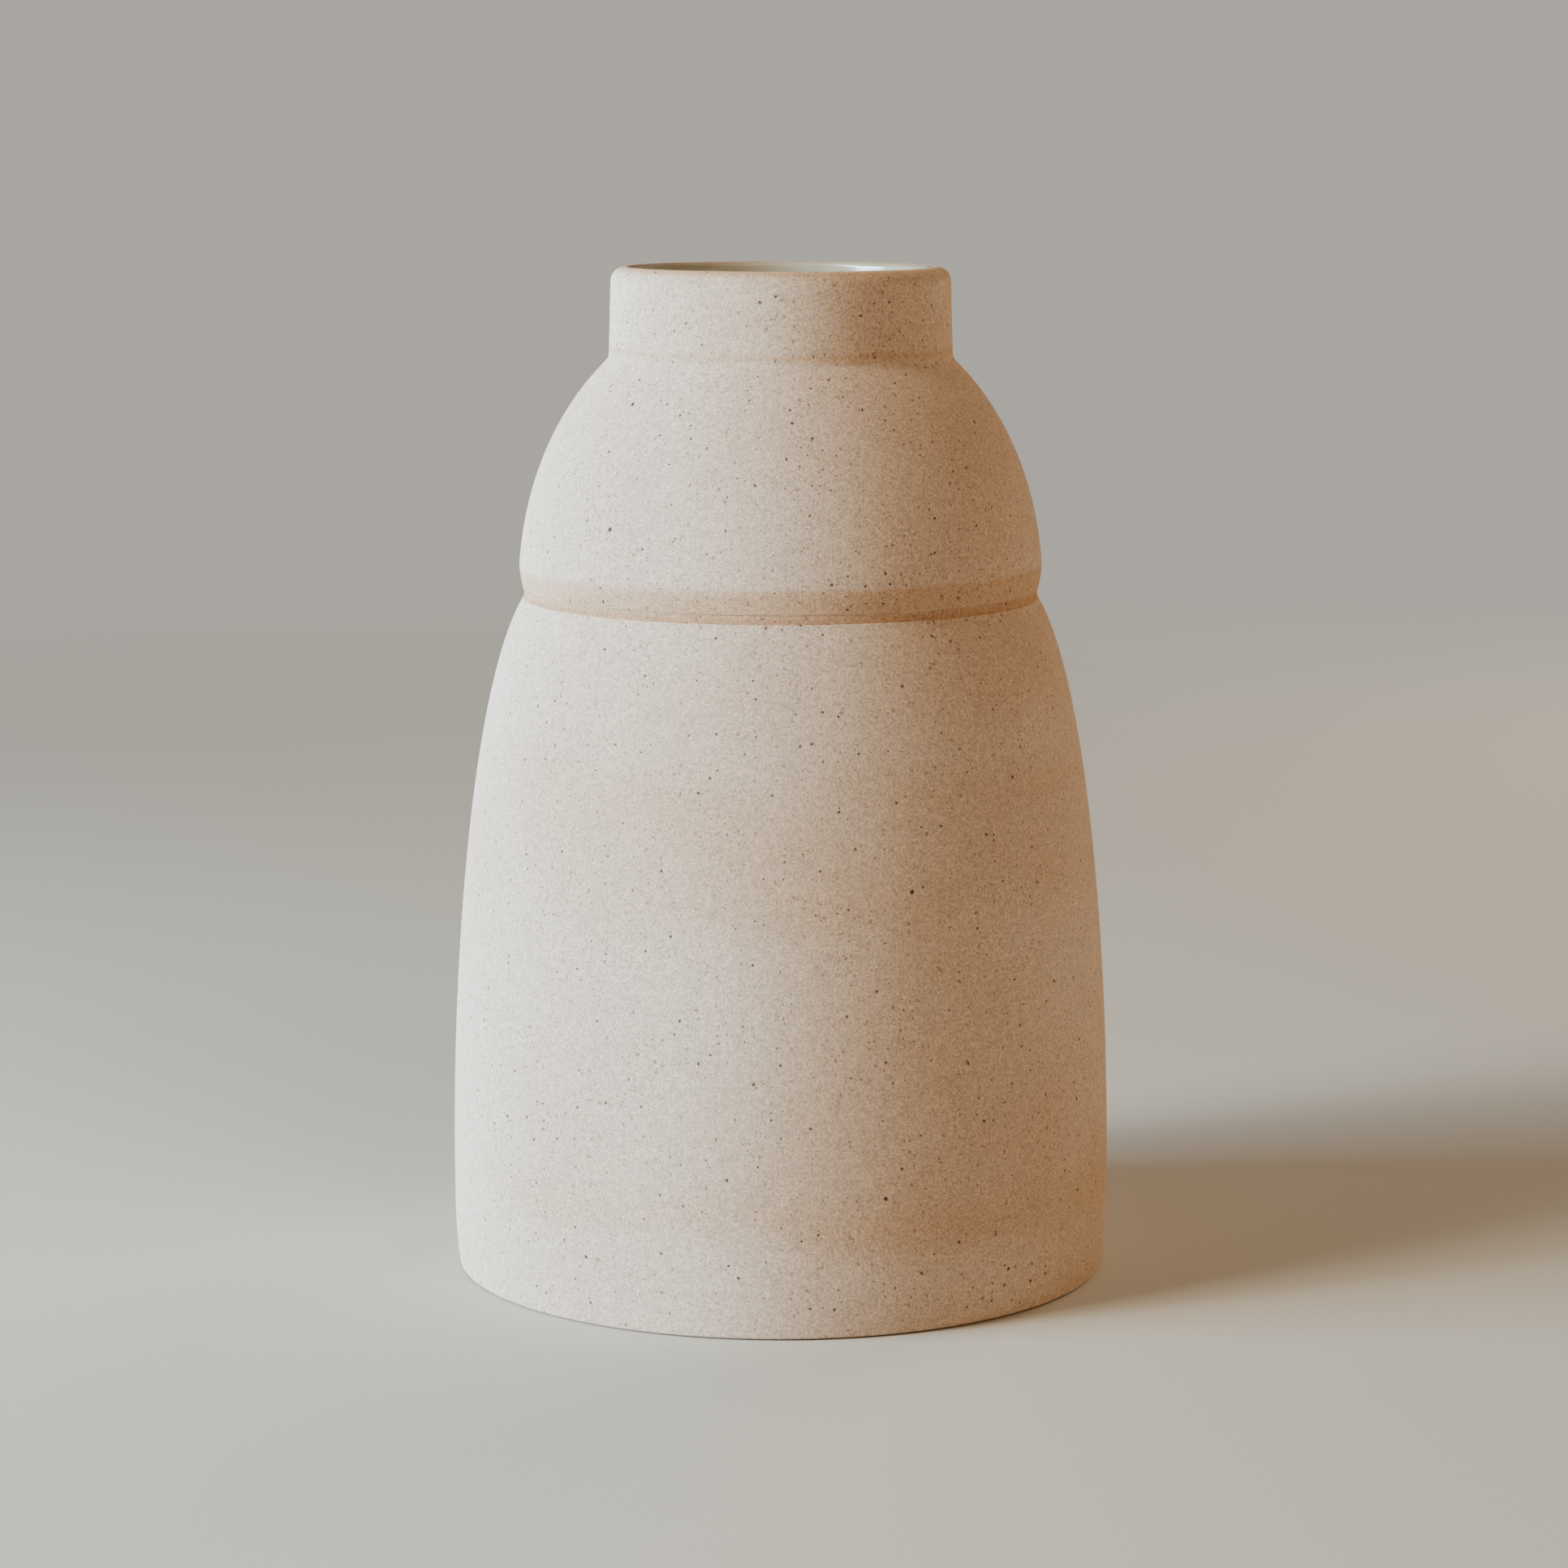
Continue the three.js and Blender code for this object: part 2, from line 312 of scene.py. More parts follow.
def turned(name, profile, around, sharp=(), relief=None):
    """Turns a profile round the axis into one closed mesh.

    The point in row i and column j is (r cos a, r sin a, z), with a = 2 pi j / around. A profile
    whose ends lie on the axis is closed by a single point at each; any other closes on itself.
    The relief, a function of radius, height and angle, moves the points first, and the hand after.
    """
    capped = profile[0, 0] < TINY and profile[-1, 0] < TINY
    body = profile[1:-1] if capped else profile
    rows = len(body)
    angle = np.arange(around) * (2 * math.pi / around)
    radius = np.repeat(body[:, :1], around, axis=1)
    height = np.repeat(body[:, 1:], around, axis=1)
    angles = np.repeat(angle[None, :], rows, axis=0)
    if relief is not None:
        radius, height = relief(radius, height, angles)
    radius, height = by_hand(radius, height, angles)
    verts = np.stack([radius * np.cos(angles), radius * np.sin(angles), height], axis=-1)
    verts = verts.reshape(-1, 3)
    row = np.arange(rows - 1 if capped else rows)[:, None]
    column = np.arange(around)[None, :]
    upper, right = (row + 1) % rows, (column + 1) % around
    quads = np.stack([
        row * around + column, row * around + right, upper * around + right, upper * around + column,
    ], axis=-1).reshape(-1, 4)
    loops, starts = quads.ravel(), np.arange(len(quads)) * 4
    if capped:
        first, last = len(verts), len(verts) + 1
        ends = np.array([[0, 0, profile[0, 1]], [0, 0, profile[-1, 1]]])
        verts = np.concatenate([verts, ends])
        ring, turn = np.arange(around), (np.arange(around) + 1) % around
        base = (rows - 1) * around
        bottom = np.stack([np.full(around, first), turn, ring], axis=-1)
        crown = np.stack([np.full(around, last), base + ring, base + turn], axis=-1)
        fans = np.concatenate([bottom, crown])
        starts = np.concatenate([starts, len(loops) + np.arange(len(fans)) * 3])
        loops = np.concatenate([loops, fans.ravel()])
    mesh = bpy.data.meshes.new(name)
    mesh.vertices.add(len(verts))
    mesh.vertices.foreach_set("co", verts.ravel().astype(np.float32))
    mesh.loops.add(len(loops))
    mesh.loops.foreach_set("vertex_index", loops.astype(np.int32))
    mesh.polygons.add(len(starts))
    mesh.polygons.foreach_set("loop_start", starts.astype(np.int32))
    mesh.polygons.foreach_set("use_smooth", np.ones(len(starts), dtype=bool))
    mesh.update(calc_edges=True)
    if sharp:
        mark_sharp(mesh, rows, around, sharp)
    if mesh.validate():
        raise RuntimeError(f"{name} came out with broken faces")
    made = bpy.data.objects.new(name, mesh)
    bpy.context.scene.collection.objects.link(made)
    return made


def mark_sharp(mesh, rows, around, sharp):
    """Marks the rings of edges in these rows as sharp, so that a corner stays crisp."""
    ends = np.empty(len(mesh.edges) * 2, dtype=np.int32)
    mesh.edges.foreach_get("vertices", ends)
    edge_rows = ends.reshape(-1, 2) // around
    wanted = np.isin(edge_rows[:, 0], [row % rows for row in sharp])
    flags = wanted & (edge_rows[:, 0] == edge_rows[:, 1])
    layer = mesh.attributes.new("sharp_edge", "BOOLEAN", "EDGE")
    layer.data.foreach_set("value", flags)


def finished(piece, node, material):
    """Hands a piece to the frame: what it stands for, its finish, and the body it rides on."""
    piece.data.materials.append(material)
    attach(piece, "root")
    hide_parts(node)


# ---------------------------------------------------------------- finishes


class Mixer:
    """Adds shader nodes to one material, and links whatever socket is given for a value."""

    def __init__(self, name):
        self.material = bpy.data.materials.new(name)
        self.material.use_nodes = True
        self.tree = self.material.node_tree
        self.tree.nodes.clear()
        self.out = self.tree.nodes.new("ShaderNodeOutputMaterial")
        self.place = self.add("TexCoord").outputs["Object"]

    def put(self, socket, value):
        if isinstance(value, bpy.types.NodeSocket):
            self.tree.links.new(value, socket)
        elif socket.type == "RGBA" and len(value) == 3:
            socket.default_value = (*value, 1.0)
        else:
            socket.default_value = value

    def add(self, kind, settings=(), **values):
        made = self.tree.nodes.new("ShaderNode" + kind)
        for name, value in dict(settings).items():
            setattr(made, name, value)
        for name, value in values.items():
            self.put(made.inputs[name.replace("_", " ")], value)
        return made

    def math(self, operation, *values, clamp=False):
        made = self.add("Math", {"operation": operation, "use_clamp": clamp})
        for socket, value in zip(made.inputs, values):
            self.put(socket, value)
        return made.outputs[0]

    def spread(self, value, low, high, start=0.0, end=1.0, smooth=True):
        """Value carried from low..high to start..end, and held beyond it."""
        made = self.add("MapRange", {"interpolation_type": "SMOOTHSTEP" if smooth else "LINEAR"})
        for name, given in zip(("Value", "From Min", "From Max", "To Min", "To Max"),
                               (value, low, high, start, end)):
            self.put(made.inputs[name], given)
        return made.outputs[0]

    def mix(self, share, first, second, blend_type="MIX"):
        made = self.add("Mix", {"data_type": "RGBA", "blend_type": blend_type})
        for socket in made.inputs:
            if socket.identifier in ("Factor_Float", "A_Color", "B_Color"):
                self.put(socket, {"F": share, "A": first, "B": second}[socket.identifier[0]])
        return next(socket for socket in made.outputs if socket.identifier == "Result_Color")

    def noise(self, size, detail=2.0, roughness=0.5, stretch=None):
        """Soft noise whose patches are about this long, squeezed along the axes by the stretch."""
        place = self.place
        if stretch is not None:
            place = self.add("Mapping", Vector=place, Scale=stretch).outputs[0]
        return self.add("TexNoise", Vector=place, Scale=1 / size, Detail=detail, Roughness=roughness)

    def shift(self, size, distance):
        """The place, pushed about by a noise: gives specks ragged outlines."""
        push = self.noise(size, 1.0).outputs["Color"]
        centred = self.add("VectorMath", {"operation": "SUBTRACT"})
        self.put(centred.inputs[0], push)
        centred.inputs[1].default_value = (0.5, 0.5, 0.5)
        scaled = self.add("VectorMath", {"operation": "SCALE"}, Scale=distance * 2)
        self.put(scaled.inputs[0], centred.outputs[0])
        moved = self.add("VectorMath", {"operation": "ADD"})
        self.put(moved.inputs[0], self.place)
        self.put(moved.inputs[1], scaled.outputs[0])
        return moved.outputs[0]

    def specks(self, place, spacing, small, large, share, edge=0.35):
        """1 inside scattered specks. Each cell draws by lot whether it holds one, and how large."""
        cells = self.add("TexVoronoi", Vector=place, Scale=1 / spacing)
        lot = self.add("SeparateColor", Color=cells.outputs["Color"])
        held = self.math("LESS_THAN", lot.outputs[0], share)
        skew = self.math("POWER", lot.outputs[1], 2.5)
        radius = self.spread(skew, 0.0, 1.0, small / spacing, large / spacing, smooth=False)
        inner = self.math("MULTIPLY", radius, 1 - edge)
        mask = self.spread(cells.outputs["Distance"], inner, radius, 1.0, 0.0)
        return self.math("MULTIPLY", mask, held)

    def bump(self, height, distance):
        return self.add("Bump", Height=height, Distance=distance, Strength=1.0).outputs[0]

    def shader(self, **values):
        made = self.add("BsdfPrincipled", **values)
        self.tree.links.new(made.outputs[0], self.out.inputs["Surface"])
        return made


def ramp(mixer, value, stops):
    """A smooth curve through (place, height) stops."""
    made = mixer.add("ValToRGB", Fac=value)
    made.color_ramp.interpolation = "EASE"
    elements = made.color_ramp.elements
    while len(elements) < len(stops):
        elements.new(1.0)
    for element, (place, level) in zip(elements, stops):
        element.position = place
        element.color = (level, level, level, 1.0)
    return made.outputs["Color"]


def bare_clay(name, clay, toast_and_shade, toast_and_shade_stops, low, high, wave=4 * MM, clouds=0.22, speckled=1.0):
    """Bare fired stoneware.

    The clay turns from its own colour to a warmer, darker one in soft level bands, which waver by
    the wave, with broad clouds over them. Where a piece's stops lay that colour on the dome's leaning
    band or at the neck crease, it is painted shade. More of it is painted on toward +X as painted
    warm shade, on the side away from the window and the lamp; a setting of 0 leaves the clay even
    all round. Sandy grain, fine rust specks, and ragged iron specks that gather in places lie on
    top. The grain and the larger specks also stand in the surface.
    """
    f = bpy.context.scene.vase_finish
    m = Mixer(name)
    height = m.add("SeparateXYZ", Vector=m.place).outputs["Z"]
    waved = m.math("ADD", height, m.spread(m.noise(60 * MM, 2.0).outputs[0], 0.25, 0.75, -wave, wave))
    bands = ramp(m, m.spread(waved, low, high, smooth=False), toast_and_shade_stops)
    cloud = m.spread(m.noise(70 * MM, 3.0, 0.5).outputs[0], 0.3, 0.7, -clouds, clouds)
    level = m.add("VectorMath", {"operation": "MULTIPLY"})
    m.put(level.inputs[0], m.place)
    level.inputs[1].default_value = (1.0, 1.0, 0.0)
    around = m.add("VectorMath", {"operation": "NORMALIZE"})
    m.put(around.inputs[0], level.outputs[0])
    toward_x = m.add("SeparateXYZ", Vector=around.outputs[0]).outputs["X"]
    # Painted warm shade: a share of the warmer, darker colour that grows toward +X, the side away from the
    # window and the lamp.
    side = m.spread(toward_x, -0.65, 0.15, -0.3, 0.7)
    toast_and_shade_share = m.math("ADD", m.math("ADD", bands, cloud), m.math("MULTIPLY", side, f.painted_warm_shade), clamp=True)
    colour = m.mix(toast_and_shade_share, clay, toast_and_shade)
    streak = m.noise(14 * MM, 3.0, 0.6, stretch=(1, 1, 9)).outputs[0]
    sand = m.noise(0.55 * MM, 1.0, 0.6).outputs[0]
    coarse = m.noise(1.6 * MM, 2.0, 0.6).outputs[0]
    for texture, depth in ((streak, 0.012), (sand, 0.16 * f.grain), (coarse, 0.06 * f.grain)):
        tint = m.spread(texture, 0.3, 0.7, 1 - depth, 1 + depth)
        colour = m.mix(1.0, colour, tint, "MULTIPLY")
    ragged = m.shift(0.7 * MM, 0.30 * MM)
    gather = m.spread(m.noise(20 * MM, 2.0, 0.6).outputs[0], 0.35, 0.65, 0.45, 1.4)
    gather = m.math("MULTIPLY", gather, f.speckle * speckled)
    iron = []
    # Spacing, smallest and largest radius in millimetres, share of cells, strength, ink.
    for spacing, small, large, share, depth, ink in (
            (1.2, 0.26, 0.44, 0.75, 0.50, f.rust),
            (2.0, 0.32, 0.60, 0.55, 0.60, f.rust),
            (2.2, 0.28, 0.56, 0.55, 0.82, f.speck),
            (6.0, 0.42, 0.76, 0.30, 0.92, f.speck)):
        held = m.math("MULTIPLY", gather, share)
        mask = m.specks(ragged, spacing * MM, small * MM, large * MM, held, 0.6)
        colour = m.mix(m.math("MULTIPLY", mask, depth), colour, ink)
        iron.append(mask)
    glint = m.specks(m.place, 8.0 * MM, 0.16 * MM, 0.32 * MM, 0.08)
    white_grit = (0.9, 0.9, 0.88)
    colour = m.mix(m.math("MULTIPLY", glint, 0.8), colour, white_grit)
    pits = m.math("MAXIMUM", iron[2], iron[3])
    relief = m.math("SUBTRACT", m.math("ADD", sand, coarse), m.math("MULTIPLY", pits, 0.7))
    m.shader(
        Base_Color=colour, Roughness=m.spread(sand, 0.3, 0.7, 0.86, 0.96), Diffuse_Roughness=0.8,
        Specular_IOR_Level=0.3, Normal=m.bump(relief, 0.06 * MM * f.grain))
    return m.material


def liner_glaze(name):
    """Glossy cream glaze: thin and tan at its edge, a little green where it pools, with pinholes."""
    s, f = bpy.context.scene.vase_shape, bpy.context.scene.vase_finish
    cloud_tint, pool_green, iron_brown = (0.45, 0.45, 0.37), (0.42, 0.46, 0.40), (0.22, 0.13, 0.07)
    m = Mixer(name)
    height = m.add("SeparateXYZ", Vector=m.place).outputs["Z"]
    wave = m.spread(m.noise(12 * MM, 2.0).outputs[0], 0.3, 0.7, -0.5 * MM, 0.5 * MM)
    edge = m.spread(m.math("ADD", height, wave), s.top - 0.9 * MM, s.top - 0.1 * MM)
    cloud = m.spread(m.noise(35 * MM, 3.0).outputs[0], 0.3, 0.7)
    colour = m.mix(m.math("MULTIPLY", cloud, 0.35), f.glaze, cloud_tint)
    colour = m.mix(m.math("MULTIPLY", edge, 0.5), colour, f.slip)
    pool = m.spread(height, 7.2 * MM, 16 * MM, 0.5, 0.0)
    colour = m.mix(pool, colour, pool_green)
    ragged = m.shift(0.9 * MM, 0.2 * MM)
    iron = m.specks(ragged, 3.6 * MM, 0.2 * MM, 0.5 * MM, 0.35, edge=0.7)
    colour = m.mix(m.math("MULTIPLY", iron, 0.55), colour, iron_brown)
    pinhole = m.specks(m.place, 5.0 * MM, 0.10 * MM, 0.22 * MM, 0.3)
    flow = m.noise(9 * MM, 2.0, 0.4).outputs[0]
    relief = m.math("SUBTRACT", m.math("MULTIPLY", flow, 3.0), pinhole)
    normal = m.bump(relief, 0.10 * MM)
    m.shader(
        Base_Color=colour, Roughness=m.spread(cloud, 0.0, 1.0, 0.16, 0.28), IOR=1.52,
        Coat_Weight=0.8, Coat_Roughness=0.10, Normal=normal)
    return m.material


FADE_START, FADE_END = 0.35, 1.6    # from the vase, where the camera starts and stops seeing floor


def plain_floor(name, backdrop):
    """Matt floor of one pale colour, which far off fades to the backdrop's for the camera alone.

    Light that bounces still meets the matt floor there, so the fade doesn't light the vase.
    """
    m = Mixer(name)
    grain = m.spread(m.noise(1.6 * MM, 3.0, 0.7).outputs[0], 0.3, 0.7, 0.985, 1.015)
    colour = m.mix(1.0, bpy.context.scene.vase_stage.floor, grain, "MULTIPLY")
    matt = m.shader(Base_Color=colour, Roughness=0.9, Specular_IOR_Level=0.2)
    glow = m.add("Emission", Color=backdrop, Strength=1.0)
    away = m.add("VectorMath", {"operation": "LENGTH"})
    m.put(away.inputs[0], m.place)
    seen = m.add("LightPath").outputs["Is Camera Ray"]
    fade = m.math("MULTIPLY", m.spread(away.outputs["Value"], FADE_START, FADE_END), seen)
    both = m.add("MixShader", Fac=fade)
    m.put(both.inputs[1], matt.outputs[0])
    m.put(both.inputs[2], glow.outputs[0])
    m.put(m.out.inputs["Surface"], both.outputs[0])
    return m.material


# ---------------------------------------------------------------- pieces


class VASE_OT_lower_body(bpy.types.Operator):
    """Makes the lower body: trimmed foot, belly, side, rounded top edge, inside and floor"""

    bl_idname = "vase.lower_body"
    bl_label = "Lower Body"

    def execute(self, context):
        s = context.scene.vase_shape
        edge_radius = float(body_outside(np.array(s.foot_edge)))
        ring_outer = edge_radius - s.foot_tuck
        ring_inner = ring_outer - s.foot_ring
        recess = np.linspace(0, ring_inner, 27)
        lift = s.recess_depth * ease((ring_inner - recess) / s.recess_slope)
        ripple_depth, ripple_pitch = 0.07 * MM, 5.5 * MM
        keep = ease((ring_inner - recess) / (2 * s.recess_slope))
        trim = ripple_depth * np.cos(recess * (2 * math.pi / ripple_pitch)) * keep
        underside = points(recess, lift + trim)
        ring = points(np.linspace(ring_inner, ring_outer, 5), 0.0)
        bottom_edge = quarter_round((ring_outer, 0), (edge_radius, s.foot_edge), 7, False)
        edge_top = s.waist_height - s.waist_edge
        side = along(body_outside, s.foot_edge, edge_top, 104)
        top_edge = quarter_round(side[-1], (side[-1, 0] - s.waist_edge, s.waist_height), 6)
        _, _, body, fillet, floor = inside_stretches(body=24, fillet=6)
        profile = joined(underside, ring, bottom_edge, side, top_edge)
        mouth = len(profile) - 1
        profile = np.concatenate([profile, joined(body, fillet, floor)])
        piece = turned("lower_body_clay", profile, 480, sharp=(mouth, mouth - 1))
        f = context.scene.vase_finish
        stops = [(0.0, 0.12), (0.10, 0.05), (0.17, 0.36), (0.23, 0.14), (0.40, 0.06),
                 (0.55, 0.12), (0.62, 0.32), (0.77, 0.28), (0.83, 0.04), (1.0, 0.10)]
        clay = bare_clay(
            "speckled_clay_body", f.clay, f.toast_and_shade, stops, 0.0, s.waist_height, speckled=0.90)
        finished(piece, "lower_body", clay)
        return {"FINISHED"}


class VASE_OT_shoulder_dome(bpy.types.Operator):
    """Makes the shoulder dome with the band that leans in at its foot"""

    bl_idname = "vase.shoulder_dome"
    bl_label = "Shoulder Dome"

    def execute(self, context):
        s = context.scene.vase_shape
        edge_top = s.dome_foot + s.tuck_edge
        edge_radius = float(upper_outside(np.array(edge_top)))
        lower_edge = quarter_round(
            (edge_radius - s.tuck_edge, s.dome_foot), (edge_radius, edge_top), 7, False)
        band_top = s.dome_foot + s.tuck_height + 1.5 * MM
        corner_foot = s.dome_top - 4 * MM
        band = along(upper_outside, edge_top, band_top, 18)
        side = along(upper_outside, band_top, corner_foot, 60)
        corner = along(upper_outside, corner_foot, s.dome_top, 16)
        outside = joined(lower_edge, band, side, corner)
        _, inside, _, _, _ = inside_stretches(dome=24)
        rows = len(outside)
        profile = np.concatenate([outside, inside])
        piece = turned("shoulder_dome_clay", profile, 400, sharp=(0, rows - 1, rows, len(profile) - 1))
        f = context.scene.vase_finish
        # The first stops are painted shade: the band that leans in at the dome's foot faces down, and is
        # given the warmer, darker colour for the shade it would hold. The rest are level bands of kiln
        # colour.
        stops = [(0.0, 1.0), (0.07, 0.95), (0.095, 0.65), (0.12, 0.12), (0.45, 0.10), (0.75, 0.16),
                 (0.98, 0.12), (1.0, 0.15)]
        clay = bare_clay(
            "speckled_clay_dome", f.clay, f.toast_and_shade, stops, s.dome_foot, s.dome_top,
            wave=0.4 * MM, clouds=0.12, speckled=1.15)
        finished(piece, "shoulder_dome", clay)
        return {"FINISHED"}


class VASE_OT_neck_collar(bpy.types.Operator):
    """Makes the neck collar with its rounded lip"""

    bl_idname = "vase.neck_collar"
    bl_label = "Neck Collar"

    def execute(self, context):
        s = context.scene.vase_shape
        corner_top = s.collar_foot + 3 * MM
        corner = along(upper_outside, s.collar_foot, corner_top, 12)
        side = along(upper_outside, corner_top, s.top - s.lip_rise, 26)
        bore = s.neck_radius - s.neck_wall
        crown = (bore + s.lip_inner_width, s.top)
        lip = quarter_round(side[-1], crown, 18)
        inside, _, _, _, _ = inside_stretches(neck=20)
        inner_lip = quarter_round(crown, inside[0], 9, False)
        profile = joined(corner, side, lip, inner_lip, inside)
        piece = turned("neck_collar_clay", profile, 384, sharp=(0, len(profile) - 1))
        f = context.scene.vase_finish
        # The first stops are painted shade in the crease at the collar's foot; the last warm the clay of
        # the lip.
        stops = [(0.0, 0.62), (0.03, 0.42), (0.08, 0.17), (0.5, 0.16), (0.80, 0.15), (0.92, 0.30),
                 (0.965, 0.80), (0.985, 1.0), (1.0, 1.0)]
        clay = bare_clay(
            "speckled_clay_neck", f.clay, f.toast_and_shade, stops, s.collar_foot, s.top,
            wave=0.5 * MM, speckled=1.25)
        finished(piece, "neck_collar", clay)
        return {"FINISHED"}


class VASE_OT_slip_joints(bpy.types.Operator):
    """Makes the two rings of slip that join the thrown sections"""

    bl_idname = "vase.slip_joints"
    bl_label = "Slip Joints"

    def execute(self, context):
        s, f = context.scene.vase_shape, context.scene.vase_finish
        neck, dome, body, _, _ = inside_stretches()
        body_edge = float(body_outside(np.array(s.waist_height - s.waist_edge))) - s.waist_edge
        dome_edge = float(upper_outside(np.array(s.dome_foot + s.tuck_edge))) - s.tuck_edge
        share = np.linspace(0, 1, 15)
        # The slip climbs a little way into the rounding under the dome's edge.
        under_edge, up_edge = 0.5, 0.11
        waist = points(
            blend(body_edge, dome_edge + s.tuck_edge * under_edge, share ** 1.5),
            blend(s.waist_height, s.dome_foot + s.tuck_edge * up_edge, share))
        collar = along(upper_outside, s.dome_top, s.collar_foot, 12)
        # Waist ring: dark slip at the foot of the groove, which is also painted groove shade, running up
        # into the painted shade of the dome's leaning band. Neck ring: painted shade in the crease, darker
        # toward the collar's foot.
        for name, node, outside, above, below, around, pale, dark, stops in (
                ("waist_slip_ring", "waist_slip", waist, dome[-1], body[0], 480, f.toast_and_shade, f.slip,
                 [(0.0, 1.0), (0.4, 0.9), (0.8, 0.2), (1.0, 0.0)]),
                ("neck_slip_ring", "neck_slip", collar, neck[-1], dome[0], 400, f.clay, f.toast_and_shade,
                 [(0.0, 0.15), (0.5, 0.35), (1.0, 0.62)])):
            inside = points(np.linspace(above[0], below[0], 4), np.linspace(above[1], below[1], 4))
            profile = np.concatenate([outside, inside])
            rows = len(outside)
            piece = turned(name, profile, around, sharp=(0, rows - 1, rows, len(profile) - 1))
            low, high = outside[0, 1], outside[-1, 1]
            clay = bare_clay(
                name + "_clay", pale, dark, stops, low, high, wave=0.1 * MM, clouds=0.15)
            finished(piece, node, clay)
        return {"FINISHED"}


class VASE_OT_liner_glaze(bpy.types.Operator):
    """Makes the glaze that lines the vase from under the lip to the floor"""

    bl_idname = "vase.liner_glaze"
    bl_label = "Liner Glaze"

    @staticmethod
    def wall_path(s, rows, lip_rows):
        """The glazed wall: from just inside the crown, over the lip, and down to mid floor."""
        stretches = inside_stretches(**rows)
        crown = (stretches[0][0, 0] + s.lip_inner_width, s.top)
        lip = quarter_round(crown, stretches[0][0], 3 * lip_rows, False)[lip_rows:]
        path = np.concatenate([lip, *stretches])
        return path[np.append(True, np.any(np.abs(np.diff(path, axis=0)) > TINY, axis=1))]

    def execute(self, context):
        s = context.scene.vase_shape
        coarse_rows = {"neck": 10, "dome": 16, "body": 24, "fillet": 7, "floor": 7}
        fine_rows = {"neck": 24, "dome": 50, "body": 94, "fillet": 12, "floor": 28}
        backing = self.wall_path(s, coarse_rows, 8)
        surface = self.wall_path(s, fine_rows, 12)
        gap = 0.02 * MM
        outer = set_in(backing, gap)[::-1]
        step = np.linalg.norm(np.diff(surface, axis=0, prepend=surface[:1]), axis=1)
        run = np.cumsum(step)
        # Thin at its edge, over half thick after a short run and whole after a long one.
        short_run, long_run = 1.2 * MM, 8 * MM
        thickness = s.glaze * (0.12 + 0.48 * ease(run / short_run) + 0.40 * ease(run / long_run))
        inner = set_in(surface, gap + thickness)
        bead = quarter_round(outer[-1], inner[0], 4)[1:-1]
        profile = np.concatenate([outer, bead, inner])
        inner_start = len(outer) + len(bead)
        travel = np.concatenate([np.full(inner_start, -1.0), run])[1:-1]
        inward = inner - set_in(surface, 0.0)
        inward /= np.maximum(np.linalg.norm(inward, axis=1, keepdims=True), TINY)
        inward = np.concatenate([np.zeros((inner_start, 2)), inward])[1:-1]
        pitch, fade, smooth_edge = 7.5 * MM, 7 * MM, 3 * MM

        def rings(radius, height, angle):
            """Finger rings, one spiral: the cosine of the run over the pitch, less the angle."""
            wave = np.cos(travel[:, None] * (2 * math.pi / pitch) - angle)
            keep = ease((travel[:, None] - smooth_edge) / fade) * ease(radius / fade)
            depth = s.rings * wave * keep
            return radius + inward[:, :1] * depth, height + inward[:, 1:] * depth

        piece = turned("liner_glaze_skin", profile, 360, relief=rings)
        finished(piece, "liner_glaze", liner_glaze("cream_liner_glaze"))
        return {"FINISHED"}


# ---------------------------------------------------------------- stage


FLOOR_REACH = 2.4
FLOOR_DROP = 0.02 * MM      # keeps the floor just clear of the foot
AIM_HEIGHT = 0.12
SENSOR_WIDTH = 36.0
LENS_LENGTH = 102.2
CAMERA_PLACE = (0.0008, -1.1029, 0.2896)
CAMERA_TILT = 81.31         # degrees from straight down

# Azimuth and elevation in degrees, distance, width, height, and whether the glaze mirrors it.
PANELS = {
    "window": (-75, 8, 1.7, 0.8, 0.5, True),
    "lamp": (-60, 28, 1.7, 0.45, 1.2, True),
    "glow": (140, 10, 1.8, 0.8, 0.8, False),
    "fill": (30, 30, 1.8, 0.8, 0.8, False),
}


def area_light(name, azimuth, elevation, distance, width, tall, mirrored, tint, power, aim):
    """A soft panel at an azimuth (0 in front, 90 to the right) and elevation, turned to its aim.

    A panel that is not mirrored lights the clay but leaves no highlight in the glaze.
    """
    light = bpy.data.lights.new(name, "AREA")
    light.shape = "RECTANGLE"
    light.size, light.size_y = width, tall
    light.color = tint
    light.energy = power
    panel = bpy.data.objects.new(name, light)
    turn, up = math.radians(azimuth), math.radians(elevation)
    away = Vector((math.sin(turn) * math.cos(up), -math.cos(turn) * math.cos(up), math.sin(up)))
    panel.location = aim + away * distance
    panel.rotation_euler = (-away).to_track_quat("-Z", "Y").to_euler()
    panel.visible_glossy = mirrored
    bpy.context.scene.collection.objects.link(panel)


